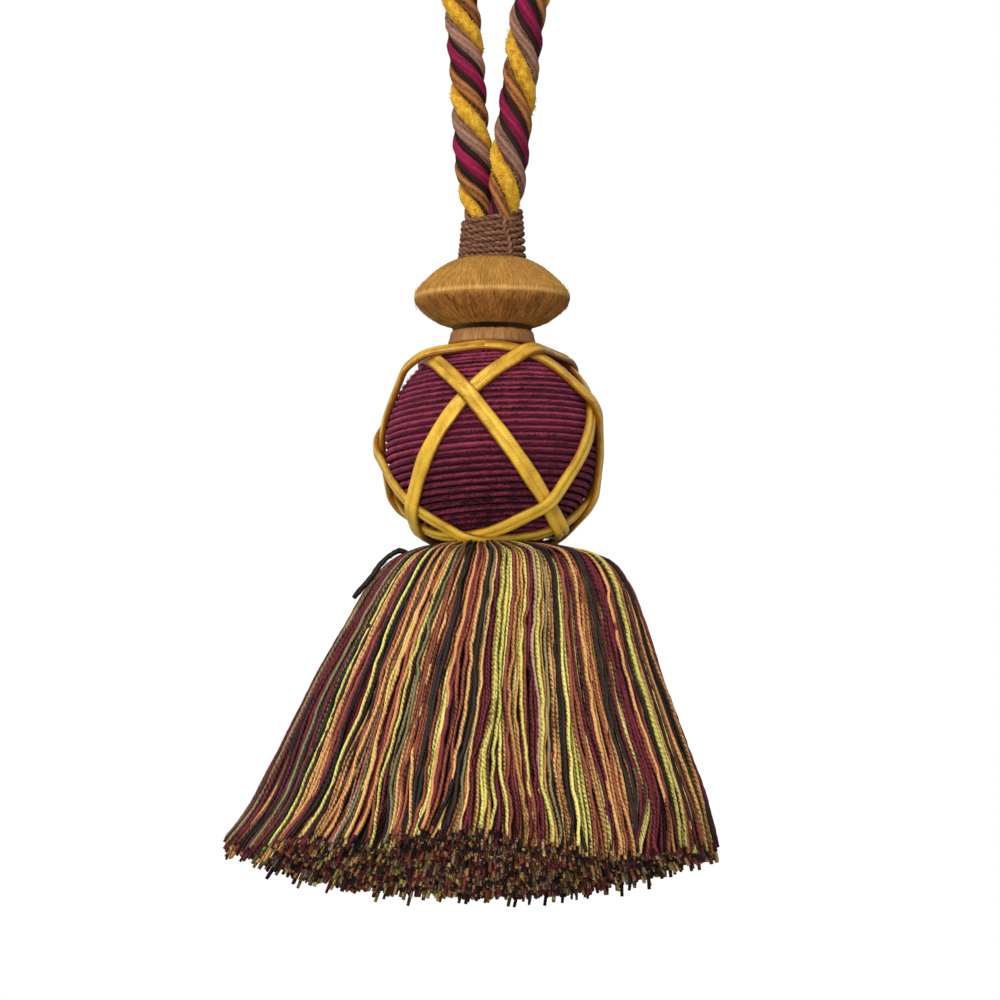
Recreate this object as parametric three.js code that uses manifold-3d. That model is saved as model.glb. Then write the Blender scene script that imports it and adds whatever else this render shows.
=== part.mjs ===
// Key tassel: a laid cord loop, a whipped neck, a silk-wound bun and collar, a yarn-wound ball in a lattice
// of flat gimp, and a skirt of cut yarn. Millimetres, +Z up, front towards -Y.
// The origin is the underside of the loop's top, where a key bow or a hook bears.
import * as THREE from "three";
import { mergeVertices } from "three/addons/utils/BufferGeometryUtils.js";
import Module from "manifold-3d";

const wasm = await Module();
wasm.setup();

// Driving dimensions, in millimetres and degrees
const seatGap = 0.3; // clear space between pieces that rest on each other
const loopDrop = 72; // bearing point of the loop down to the top of the whipping
const cord = { diameter: 6, strands: 4, groove: 0.62, lay: 16.5, steps: 112, pinch: 0.86, pinchLength: 9 };
const whipping = { height: 7, topWide: 10.7, baseWide: 11.5, depth: 7.2, turns: 6, groove: 0.1, slant: 0.1 };
const bun = { height: 11.7, topRadius: 5.2, rimRadius: 12.8, rimDrop: 6.3, baseRadius: 6.7 };
const collar = { height: 2.4, topRadius: 6.8, baseRadius: 7.2 };
const ball = { radius: 17.7, seatRadius: 7, footRadius: 4.8, yarn: 1.25, groove: 0.4 };
const gimp = { width: 2.8, thickness: 1.1, groove: 0.2, steps: 42, crossMargin: 0.7, crossFall: 14 };
const head = { bossRadius: 4.6, trough: 2.3, troughRadius: 10.4, rimRadius: 13.2, depth: 8.5 };
const skirt = { length: 49.3, extraFront: 2.4, cover: 0.84, rootHalf: 0.5, tipHalf: 1.5, uneven: 1.2 };
const smallestEdge = 0.03; // finest edge kept where the locks are joined to their head
const roundSteps = 28;
const woundSteps = 22;

// Heights of the stacked pieces, from the neck down
const bunTop = -loopDrop - whipping.height - seatGap;
const collarTop = bunTop - bun.height - seatGap;
const ballTop = collarTop - collar.height - seatGap;
const ballCentre = ballTop - Math.sqrt(ball.radius ** 2 - ball.seatRadius ** 2);
const skirtTop = ballCentre - Math.sqrt(ball.radius ** 2 - ball.footRadius ** 2) - seatGap;

const material = (color, roughness) => new THREE.MeshStandardMaterial({ color, roughness, metalness: 0 });
const finishes = {
  cord: material(0x9a6a3c, 0.8),
  twine: material(0x64412f, 0.7),
  silk: material(0xb0803a, 0.5),
  paleSilk: material(0xaf7d50, 0.55),
  yarn: material(0x782341, 0.85),
  gimp: material(0xd7a528, 0.4),
  fringe: material(0x6e4634, 0.8),
};

// Directions around the vertical axis: angle 0 faces the front, and grows to the right
const radians = THREE.MathUtils.degToRad;
const up = new THREE.Vector3(0, 0, 1);
const outward = (angle) => new THREE.Vector3(Math.sin(angle), -Math.cos(angle), 0);
const sideways = (angle) => new THREE.Vector3(Math.cos(angle), Math.sin(angle), 0);

// A repeatable uneven number between -1 and 1
function uneven(seed) {
  const wave = Math.sin(seed * 12.9898) * 43758.5453;
  return 2 * (wave - Math.floor(wave)) - 1;
}

// Moves every point of a geometry by a function of the point and its surface coordinates
function reshape(geometry, place) {
  const { position, uv } = geometry.attributes;
  const point = new THREE.Vector3();
  for (let i = 0; i < position.count; i += 1) {
    point.fromBufferAttribute(position, i);
    place(point, uv.getX(i), uv.getY(i));
    position.setXYZ(i, point.x, point.y, point.z);
  }
  geometry.computeVertexNormals();
  return geometry;
}

// A solid of revolution about the vertical axis, from a path of radius and height that runs upwards
function turned(path, steps, curveSteps = 1) {
  return new THREE.LatheGeometry(path.getPoints(curveSteps), steps).rotateX(Math.PI / 2);
}

function named(name, geometry, finish, z = 0) {
  const mesh = new THREE.Mesh(geometry, finish);
  mesh.name = name;
  mesh.position.z = z;
  return mesh;
}

// Cord loop: the doubled cord's centre line, from its left foot over the top to its right foot
const cordRoute = [
  [-2.8, 0.3, -71.6], [-2.95, 0.3, -67], [-3.25, 0.2, -61.5], [-3.8, 0.1, -53.5], [-4.5, 0, -45.5],
  [-5.3, 0, -38], [-6.9, 0, -30.5], [-9, 0, -23.5], [-11.2, 0, -17], [-12.6, 0, -10.8], [-12.3, 0, -5],
  [-9.7, 0, -0.3], [-5.4, 0, 2.3], [0, 0, 3], [5.4, 0, 2.3], [9.8, 0, -0.3], [12.5, 0, -5], [13, 0, -10.8],
  [12, 0, -17], [10.2, 0, -23.5], [8.4, 0, -30.5], [6.4, 0, -38], [5, 0, -45.5], [4.1, -0.1, -53.5],
  [3.4, -0.2, -61.5], [2.75, -0.3, -67], [2.6, -0.3, -71.6],
];

function cordLoop() {
  const path = new THREE.CatmullRomCurve3(cordRoute.map((point) => new THREE.Vector3(...point)));
  const section = new THREE.Shape();
  for (let corner = 0; corner < 2 * cord.strands; corner += 1) {
    const reach = cord.diameter / 2 - (corner % 2) * cord.groove;
    const angle = (corner * Math.PI) / cord.strands;
    const move = corner === 0 ? "moveTo" : "lineTo";
    section[move](reach * Math.cos(angle), reach * Math.sin(angle));
  }
  const tube = new THREE.ExtrudeGeometry(section, { steps: cord.steps, extrudePath: path, curveSegments: 1 });
  const stations = path.getSpacedPoints(cord.steps);
  const { tangents } = path.computeFrenetFrames(cord.steps, false);
  const length = path.getLength();
  // Each ring of points is turned about the centre line for the lay, and drawn in where the neck is bound
  return reshape(tube, (point) => {
    let nearest = 0;
    stations.forEach((station, k) => {
      if (station.distanceToSquared(point) < stations[nearest].distanceToSquared(point)) nearest = k;
    });
    const along = (nearest / cord.steps) * length;
    const fromFoot = Math.min(along, length - along);
    const girth = cord.pinch + (1 - cord.pinch) * THREE.MathUtils.smoothstep(fromFoot, 0, cord.pinchLength);
    point.sub(stations[nearest]).multiplyScalar(girth);
    point.applyAxisAngle(tangents[nearest], (-2 * Math.PI * along) / cord.lay).add(stations[nearest]);
  });
}

// Whipping: level ends and an oval waist, its turns raised as ridges that climb to the right
function neckWhipping() {
  const profile = new THREE.Path().moveTo(0, -whipping.height);
  for (let row = 0; row <= 2 * whipping.turns; row += 1) {
    const radius = 1 - (row % 2 === 0 ? whipping.groove : 0);
    profile.lineTo(radius, (row / (2 * whipping.turns) - 1) * whipping.height);
  }
  profile.lineTo(0, 0);
  return reshape(turned(profile, woundSteps), (point) => {
    const drop = -point.z / whipping.height;
    point.x *= THREE.MathUtils.lerp(whipping.topWide, whipping.baseWide, drop) / 2;
    point.y *= whipping.depth / 2;
    point.z += whipping.slant * point.x * Math.sin(Math.PI * drop);
  });
}

// Bun: a full crown, a tight rim and a flatter underside
function silkBun() {
  const shoulder = 0.24 * bun.rimDrop;
  const lip = 0.08 * bun.rimRadius;
  const profile = new THREE.Path()
    .moveTo(0, -bun.height)
    .lineTo(bun.baseRadius, -bun.height)
    .quadraticCurveTo(0.8 * bun.rimRadius, -bun.height + lip, bun.rimRadius - 0.4 * lip, -bun.rimDrop - lip)
    .quadraticCurveTo(bun.rimRadius + 0.2 * lip, -bun.rimDrop, bun.rimRadius - 0.6 * lip, -bun.rimDrop + lip)
    .quadraticCurveTo(0.78 * bun.rimRadius, -shoulder, bun.topRadius, 0)
    .lineTo(0, 0);
  return turned(profile, roundSteps, 4);
}

function silkCollar() {
  const profile = new THREE.Path()
    .moveTo(0, -collar.height)
    .lineTo(collar.baseRadius, -collar.height)
    .quadraticCurveTo(collar.baseRadius, -collar.height / 2, collar.topRadius, 0)
    .lineTo(0, 0);
  return turned(profile, roundSteps, 2);
}

// Ball: level turns of yarn between a flat foot and a flat seat
function woundBall() {
  const low = -Math.acos(ball.footRadius / ball.radius);
  const high = Math.acos(ball.seatRadius / ball.radius);
  const rows = 2 * Math.round(((high - low) * ball.radius) / ball.yarn);
  const profile = new THREE.Path().moveTo(0, ball.radius * Math.sin(low));
  for (let row = 0; row <= rows; row += 1) {
    const latitude = THREE.MathUtils.lerp(low, high, row / rows);
    const isEnd = row === 0 || row === rows;
    const radius = ball.radius - (row % 2 === 0 && !isEnd ? ball.groove : 0);
    profile.lineTo(radius * Math.cos(latitude), radius * Math.sin(latitude));
  }
  profile.lineTo(0, ball.radius * Math.sin(high));
  return turned(profile, woundSteps);
}

// Lattice: rings round the ball, each tilted towards the angle of its highest point and sunk a little
const gimpRings = [
  { name: "gimp_ring_1", top: -88, tilt: 55, sink: -1 },
  { name: "gimp_ring_2", top: 66, tilt: 56, sink: -3 },
  { name: "gimp_ring_3", top: -5, tilt: 60, sink: 6 },
  { name: "gimp_ring_4", top: 146, tilt: 61, sink: 2 },
  { name: "gimp_ring_5", top: -160, tilt: 56, sink: 8 },
];

// Which ring of a pair lies outside at the pair's upper and lower crossing
const crossings = [
  { pair: [0, 1], upper: 0, lower: 0 },
  { pair: [0, 2], upper: 2, lower: 2 },
  { pair: [0, 3], upper: 0, lower: 3 },
  { pair: [0, 4], upper: 0, lower: 0 },
  { pair: [1, 2], upper: 1, lower: 1 },
  { pair: [1, 3], upper: 1, lower: 1 },
  { pair: [1, 4], upper: 1, lower: 1 },
  { pair: [2, 3], upper: 2, lower: 2 },
  { pair: [2, 4], upper: 4, lower: 2 },
  { pair: [3, 4], upper: 3, lower: 4 },
];

const ringFrames = gimpRings.map(({ top, tilt, sink }) => {
  const facing = outward(radians(top));
  const rise = Math.sin(radians(tilt));
  const run = Math.cos(radians(tilt));
  return {
    pole: facing.clone().multiplyScalar(-rise).addScaledVector(up, run),
    crest: facing.clone().multiplyScalar(run).addScaledVector(up, rise),
    side: sideways(radians(top)),
    offset: -Math.sin(radians(sink)),
    girth: Math.cos(radians(sink)),
  };
});

// Direction from the ball's centre to a ring, a turn of t round the ring from its highest point
function ringDirection(frame, t) {
  const direction = frame.pole.clone().multiplyScalar(frame.offset);
  direction.addScaledVector(frame.crest, frame.girth * Math.cos(t));
  return direction.addScaledVector(frame.side, frame.girth * Math.sin(t));
}

function turnOf(frame, direction) {
  return Math.atan2(direction.dot(frame.side), direction.dot(frame.crest));
}

function ringForward(frame, t) {
  return frame.side.clone().multiplyScalar(Math.cos(t)).addScaledVector(frame.crest, -Math.sin(t));
}

// The two directions where a pair of rings meet, the upper one first
function meetings(a, b) {
  const lean = a.pole.dot(b.pole);
  const square = 1 - lean ** 2;
  const fromA = (a.offset - lean * b.offset) / square;
  const fromB = (b.offset - lean * a.offset) / square;
  const base = a.pole.clone().multiplyScalar(fromA).addScaledVector(b.pole, fromB);
  const across = a.pole.clone().cross(b.pole);
  const reach = Math.sqrt((1 - base.lengthSq()) / square) * Math.sign(across.z);
  return [base.clone().addScaledVector(across, reach), base.clone().addScaledVector(across, -reach)];
}

const rises = crossings.flatMap(({ pair, upper, lower }) => {
  const [high, low] = meetings(ringFrames[pair[0]], ringFrames[pair[1]]);
  const rise = (over, direction) => {
    const under = pair[0] === over ? pair[1] : pair[0];
    const overTurn = turnOf(ringFrames[over], direction);
    const underTurn = turnOf(ringFrames[under], direction);
    const forward = ringForward(ringFrames[over], overTurn);
    const bend = forward.angleTo(ringForward(ringFrames[under], underTurn));
    const angle = Math.min(bend, Math.PI - bend);
    const flat = (gimp.width / 2 + gimp.crossMargin) / Math.tan(angle / 2) / ball.radius;
    return { over, under, overTurn, underTurn, flat, height: gimp.thickness + seatGap };
  };
  return [rise(upper, high), rise(lower, low)];
});

// How far a ring stands off the ball's yarn at a turn, to pass over the rings that it crosses
function standOff(ring, t) {
  let highest = 0;
  rises.filter((rise) => rise.over === ring).forEach((rise) => {
    const away = Math.abs(Math.atan2(Math.sin(t - rise.overTurn), Math.cos(t - rise.overTurn)));
    const fall = THREE.MathUtils.smoothstep(away, rise.flat, rise.flat + radians(gimp.crossFall));
    highest = Math.max(highest, rise.height * (1 - fall));
  });
  return highest;
}

// Where a ring passes over one that is itself raised, it rises by as much again
const settlingPasses = 3;
for (let pass = 0; pass < settlingPasses; pass += 1) {
  rises.forEach((rise) => {
    const stretch = [-1, 0, 1].map((end) => standOff(rise.under, rise.underTurn + end * rise.flat));
    rise.height = gimp.thickness + seatGap + Math.max(...stretch);
  });
}

// Flat gimp with two lobes outside, as distances out from the ring's middle and across it
const gimpSection = [
  { out: gimp.thickness / 2 - gimp.groove, across: 0 },
  { out: gimp.thickness / 2, across: 0.27 * gimp.width },
  { out: 0, across: gimp.width / 2 },
  { out: -gimp.thickness / 2, across: 0.32 * gimp.width },
  { out: -gimp.thickness / 2, across: -0.32 * gimp.width },
  { out: 0, across: -gimp.width / 2 },
  { out: gimp.thickness / 2, across: -0.27 * gimp.width },
];

function gimpRing(ring) {
  const frame = ringFrames[ring];
  const corners = gimpSection.length;
  const band = new THREE.TorusGeometry(ball.radius, gimp.width / 2, corners, gimp.steps);
  return reshape(band, (point, round, around) => {
    const t = 2 * Math.PI * round;
    const corner = gimpSection[Math.round(around * corners) % corners];
    const direction = ringDirection(frame, t);
    const across = direction.clone().cross(ringForward(frame, t)).normalize();
    const middle = ball.radius + seatGap + gimp.thickness / 2 + standOff(ring, t);
    point.copy(direction).multiplyScalar(middle + corner.out).addScaledVector(across, corner.across);
  });
}

// Skirt: the outside of the fall, as drop below the head's top, reach from the axis and lean to the right
const skirtFall = [
  { drop: 1.5, reach: 11.6, lean: 0 },
  { drop: 1.2, reach: 14, lean: 0.2 },
  { drop: 3.6, reach: 18.6, lean: 1.1 },
  { drop: 9.9, reach: 23, lean: 0.5 },
  { drop: 24.5, reach: 29.9, lean: -0.8 },
  { drop: 38, reach: 35.5, lean: -2.1 },
  { drop: 49.3, reach: 40.4, lean: -4 },
];

// Rows of locks, from the outside in: spread is a row's share of the outer reach
const lockRows = [
  { count: 58, spread: 1, sides: 4, steps: 5, rootReach: 12.5, rootDrop: 2, firstBend: 1 },
  { count: 38, spread: 0.8, sides: 3, steps: 3, rootReach: 11.8, rootDrop: 4.1, firstBend: 3 },
  { count: 26, spread: 0.58, sides: 3, steps: 3, rootReach: 9.2, rootDrop: 5.5, firstBend: 3 },
  { count: 15, spread: 0.36, sides: 3, steps: 3, rootReach: 6.4, rootDrop: 6.8, firstBend: 3 },
  { count: 6, spread: 0.14, sides: 3, steps: 3, rootReach: 3, rootDrop: 7.6, firstBend: 3 },
];

// The one short end that has worked loose at the upper left, standing off the outer row
const looseEnd = { angle: -76, sides: 4, steps: 4, half: 0.55, stand: 2.2, bends: 4, endDrop: 8.6 };

// A lock's centre line: its root in the head, then its row's share of the fall, stretched towards its own end
function lockPath(angle, row, endDrop) {
  const root = outward(angle).multiplyScalar(row.rootReach).addScaledVector(up, -row.rootDrop);
  const bends = skirtFall.slice(row.firstBend).map(({ drop, reach, lean }) => {
    const stretch = THREE.MathUtils.lerp(1, endDrop / skirt.length, drop / skirt.length);
    const bend = outward(angle).multiplyScalar(reach * row.spread);
    return bend.add(new THREE.Vector3(lean * row.spread, 0, -drop * stretch));
  });
  return new THREE.CatmullRomCurve3([root, ...bends]);
}

// A lock is a bar of few sides, its points carried to the path and its width grown with the fall
function lock(path, angle, sides, steps, halfWidth, halfDepth) {
  const bar = new THREE.CylinderGeometry(1, 1, 1, sides, steps);
  const across = sideways(angle);
  return reshape(bar, (point) => {
    const along = 0.5 - point.y;
    const centre = path.getPoint(along);
    const out = across.clone().cross(path.getTangent(along)).negate().normalize();
    const width = point.x * halfWidth(along, centre);
    const depth = point.z * halfDepth(along);
    point.copy(centre).addScaledVector(across, width).addScaledVector(out, depth);
  });
}

function toSolid(geometry) {
  const bare = geometry.clone();
  bare.deleteAttribute("normal");
  bare.deleteAttribute("uv");
  const { attributes, index } = mergeVertices(bare);
  const vertProperties = new Float32Array(attributes.position.array);
  const triVerts = new Uint32Array(index.array);
  return new wasm.Manifold(new wasm.Mesh({ numProp: 3, vertProperties, triVerts }));
}

function toGeometry(solid) {
  const { vertProperties, triVerts } = solid.getMesh();
  const geometry = new THREE.BufferGeometry();
  geometry.setAttribute("position", new THREE.BufferAttribute(vertProperties, 3));
  geometry.setIndex(new THREE.BufferAttribute(triVerts, 1));
  geometry.computeVertexNormals();
  return geometry;
}

function rowLocks(row, rowIndex) {
  const pitch = (2 * Math.PI) / row.count;
  return Array.from({ length: row.count }, (_, i) => {
    const seed = 100 * rowIndex + i + 1;
    const angle = pitch * (i + 0.5 * (rowIndex % 2));
    const endDrop = skirt.length + skirt.extraFront * Math.cos(angle) ** 2 + skirt.uneven * uneven(seed);
    const path = lockPath(angle, row, endDrop);
    const halfWidth = (along, centre) => 0.5 * skirt.cover * pitch * Math.hypot(centre.x, centre.y);
    const halfDepth = (along) => THREE.MathUtils.lerp(skirt.rootHalf, skirt.tipHalf, along);
    return toSolid(lock(path, angle, row.sides, row.steps, halfWidth, halfDepth));
  });
}

function looseLock() {
  const angle = radians(looseEnd.angle);
  const points = skirtFall.slice(0, looseEnd.bends).map(({ drop, reach }, bend) => {
    const stand = bend === 0 ? 0 : looseEnd.stand;
    const fall = Math.min(drop, looseEnd.endDrop);
    return outward(angle).multiplyScalar(reach + stand).addScaledVector(up, -fall);
  });
  const half = () => looseEnd.half;
  return toSolid(lock(new THREE.CatmullRomCurve3(points), angle, looseEnd.sides, looseEnd.steps, half, half));
}

// The head has a boss under the ball and a trough that clears the lattice's lowest turns
function skirtHead() {
  const profile = new THREE.Path()
    .moveTo(0, -head.depth)
    .lineTo(0.4 * head.rimRadius, -0.9 * head.depth)
    .quadraticCurveTo(head.rimRadius, -0.6 * head.depth, head.rimRadius, -0.3 * head.depth)
    .quadraticCurveTo(head.rimRadius, -0.5 * head.trough, head.troughRadius + 1, -0.5 * head.trough)
    .lineTo(head.troughRadius, -head.trough)
    .lineTo(head.bossRadius + 0.6, -head.trough)
    .lineTo(head.bossRadius, 0)
    .lineTo(0, 0);
  return toSolid(turned(profile, roundSteps, 3));
}

function yarnSkirt() {
  const locks = lockRows.flatMap(rowLocks);
  const joined = wasm.Manifold.union([skirtHead(), ...locks, looseLock()]);
  return toGeometry(joined.simplify(smallestEdge));
}

const tassel = new THREE.Group();
tassel.add(named("cord_loop", cordLoop(), finishes.cord));
tassel.add(named("neck_whipping", neckWhipping(), finishes.twine, -loopDrop));
tassel.add(named("bun", silkBun(), finishes.silk, bunTop));
tassel.add(named("collar", silkCollar(), finishes.paleSilk, collarTop));
tassel.add(named("ball", woundBall(), finishes.yarn, ballCentre));
gimpRings.forEach(({ name }, ring) => tassel.add(named(name, gimpRing(ring), finishes.gimp, ballCentre)));
tassel.add(named("skirt", yarnSkirt(), finishes.fringe, skirtTop));

export default tassel;
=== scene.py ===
from math import acos, atan2, cos, pi, radians, sin, sqrt

import bpy
import numpy as np
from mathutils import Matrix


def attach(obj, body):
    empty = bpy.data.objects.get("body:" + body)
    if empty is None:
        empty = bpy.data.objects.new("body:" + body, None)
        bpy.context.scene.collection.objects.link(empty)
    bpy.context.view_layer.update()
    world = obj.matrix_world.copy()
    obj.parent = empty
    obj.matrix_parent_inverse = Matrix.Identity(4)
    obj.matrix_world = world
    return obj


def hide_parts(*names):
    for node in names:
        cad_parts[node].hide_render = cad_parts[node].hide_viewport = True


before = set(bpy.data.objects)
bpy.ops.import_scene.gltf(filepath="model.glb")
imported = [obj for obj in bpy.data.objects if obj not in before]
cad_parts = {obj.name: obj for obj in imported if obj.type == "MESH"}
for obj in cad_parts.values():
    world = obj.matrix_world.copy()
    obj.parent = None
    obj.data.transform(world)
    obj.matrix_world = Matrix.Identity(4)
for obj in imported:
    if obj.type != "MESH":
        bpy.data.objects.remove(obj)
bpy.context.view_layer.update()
bpy.ops.object.select_all(action="DESELECT")
scene = bpy.context.scene

mm = 0.001  # shapes below are in millimetres, meshes in metres
turn = 2 * pi
rng = np.random.default_rng(41)
up = np.array([0.0, 0.0, 1.0])
front = np.array([0.0, -1.0, 0.0])

# heights of the stack and the ball's size, as in the CAD
bunTop = -79.3
collarTop = -91.3
ballCentre = -110.257
ballRadius = 17.7
skirtTop = -127.59


def linear(red, green, blue):  # screen colour to the shader's linear light
    channels = [value / 255 for value in (red, green, blue)]
    return tuple(c / 12.92 if c < 0.04 else ((c + 0.055) / 1.055) ** 2.4 for c in channels) + (1.0,)


def unit(v):
    return v / np.maximum(np.linalg.norm(v, axis=-1, keepdims=True), 1e-9)


def squareTo(along, v):  # the direction of v, turned square to a heading
    return unit(v - np.sum(v * along, -1, keepdims=True) * along)


def lengthAlong(points):
    return np.concatenate([[0], np.cumsum(np.linalg.norm(np.diff(points, axis=0), axis=1))])


def smoothStep(low, high, x):
    t = np.clip((x - low) / (high - low), 0, 1)
    return t * t * (3 - 2 * t)


def smoothCurve(points, steps):  # a curve through the points, in even steps along its length
    points = np.asarray(points, float)
    padded = np.vstack([2 * points[0] - points[1], points, 2 * points[-1] - points[-2]])
    t = np.linspace(0, 1, 24, endpoint=False)[:, None]
    fine = []
    for a, b, c, d in zip(padded, padded[1:], padded[2:], padded[3:]):
        bend = (2 * a - 5 * b + 4 * c - d) * t ** 2 + (3 * b - a - 3 * c + d) * t ** 3
        fine.append(b + 0.5 * ((c - a) * t + bend))
    fine = np.vstack(fine + [points[-1:]])
    run = lengthAlong(fine)
    even = np.linspace(0, run[-1], steps)
    return np.stack([np.interp(even, run, column) for column in fine.T], 1), even


def knotsAt(x):  # the knot below each place, and a smooth share towards the next
    low = np.floor(x).astype(int)
    return low, smoothStep(0, 1, x - low)


def drift(rows, steps, waves, size):  # smooth random wander, one row for each thread
    knots = rng.normal(0, size, (rows, waves + 2))
    low, t = knotsAt(np.linspace(0, waves, steps))
    return knots[:, low] * (1 - t) + knots[:, low + 1] * t


# shader maths: a wire is one socket, and sums on wires add Math nodes
class Wire:
    def __init__(self, look, socket):
        self.look = look
        self.socket = socket

    def __add__(self, other):
        return self.look.maths("ADD", self, other)

    __radd__ = __add__

    def __sub__(self, other):
        return self.look.maths("SUBTRACT", self, other)

    def __rsub__(self, other):
        return self.look.maths("SUBTRACT", other, self)

    def __mul__(self, other):
        return self.look.maths("MULTIPLY", self, other)

    def __pow__(self, other):
        return self.look.maths("POWER", self, other)

    def wave(self):  # 0 to 1 and back once each turn
        return self.look.maths("SINE", self * turn) * 0.5 + 0.5


class Look:
    def __init__(self, name, sheen=0.0, tint=(255, 255, 255), gloss=0.5, sheenRough=0.5):
        self.material = bpy.data.materials.new(name)
        self.material.use_nodes = True
        self.tree = self.material.node_tree
        self.shader = self.tree.nodes["Principled BSDF"]
        self.set("Sheen Weight", sheen)
        self.set("Sheen Roughness", sheenRough)
        self.set("Sheen Tint", linear(*tint))
        self.set("Specular IOR Level", gloss)

    def set(self, name, value):  # a socket of the shader itself
        self.plug(self.shader.inputs[name], value)

    def plug(self, socket, value):
        if isinstance(value, Wire):
            self.tree.links.new(value.socket, socket)
        else:
            socket.default_value = value

    def add(self, kind, sockets, output=0, **settings):
        node = self.tree.nodes.new(kind)
        for name, value in settings.items():
            setattr(node, name, value)
        for name, value in sockets.items():
            self.plug(node.inputs[name], value)
        return Wire(self, node.outputs[output])

    def maths(self, operation, *values):
        return self.add("ShaderNodeMath", dict(enumerate(values)), operation=operation)

    def mix(self, factor, first, second):
        return self.add("ShaderNodeMix", {0: factor, 6: first, 7: second}, 2, data_type="RGBA")

    def dyed(self, light, pair):  # from the dark colour of a pair to the light one
        return self.mix(light, linear(*pair[0]), linear(*pair[1]))

    def place(self):
        return self.add("ShaderNodeTexCoord", {}, 3)

    def split(self, vector):
        node = self.add("ShaderNodeSeparateXYZ", {0: vector}).socket.node
        return [Wire(self, socket) for socket in node.outputs]

    def lay(self):  # once round the thread, and millimetres along it
        return self.split(self.add("ShaderNodeUVMap", {}, uv_map="lay"))[:2]

    def own(self, name):  # kept on the mesh: tone varies along a thread and carries painted light and shade, kind from thread to thread
        return self.add("ShaderNodeAttribute", {}, 2, attribute_type="GEOMETRY", attribute_name=name)

    def noise(self, scale, detail=2.0, rough=0.5, vector=None):
        sockets = {"Vector": vector or self.place(), "Scale": scale, "Detail": detail, "Roughness": rough}
        return self.add("ShaderNodeTexNoise", sockets)

    def drawn(self, x, y, z, detail=2.0, rough=0.5):  # noise drawn out along the threads
        return self.noise(1.0, detail, rough, self.add("ShaderNodeCombineXYZ", {0: x, 1: y, 2: z}))

    def ramp(self, value, low, high, atLow, atHigh):
        return self.add("ShaderNodeMapRange", {0: value, 1: low, 2: high, 3: atLow, 4: atHigh})

    def finish(self, colour, rough, height, depth):  # depth of the relief in millimetres
        self.set("Base Color", colour)
        self.set("Roughness", rough)
        self.set("Normal", self.add("ShaderNodeBump", {"Height": height, "Distance": depth * mm}))
        return self


# twisted yarn: plies run round it in its own UV, fibres are fine noise drawn out along them
def threadLook(
    name, shade, lit, plies, pitch, plied=0.3, speckle=0.9, wander=1.0, sheen=0.4, rough=0.72, depth=0.05,
    other=None,
):
    look = Look(name, sheen, lit, gloss=0.2, sheenRough=0.45)
    around, along = look.lay()
    kind = look.own("kind")
    uneven = look.drawn(along * 0.5, kind * 60, 0, detail=1.0)
    twist = around * plies + along * (1 / pitch) + uneven * wander
    ply = twist.wave()
    fibre = look.drawn(twist * 9, along * 0.9, kind * 40, 3.0, 0.6)
    grain = look.noise(2900)
    light = (ply - 0.5) * plied + (fibre - 0.5) * 0.9 + (grain - 0.5) * speckle + look.own("tone")
    bright = look.mix(kind, linear(*lit), linear(*(other or lit)))
    colour = look.mix(light, linear(*shade), bright)
    return look.finish(colour, rough + fibre * 0.2, ply * plied * 2 + fibre * 0.6 + grain * 0.5, depth)


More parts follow.
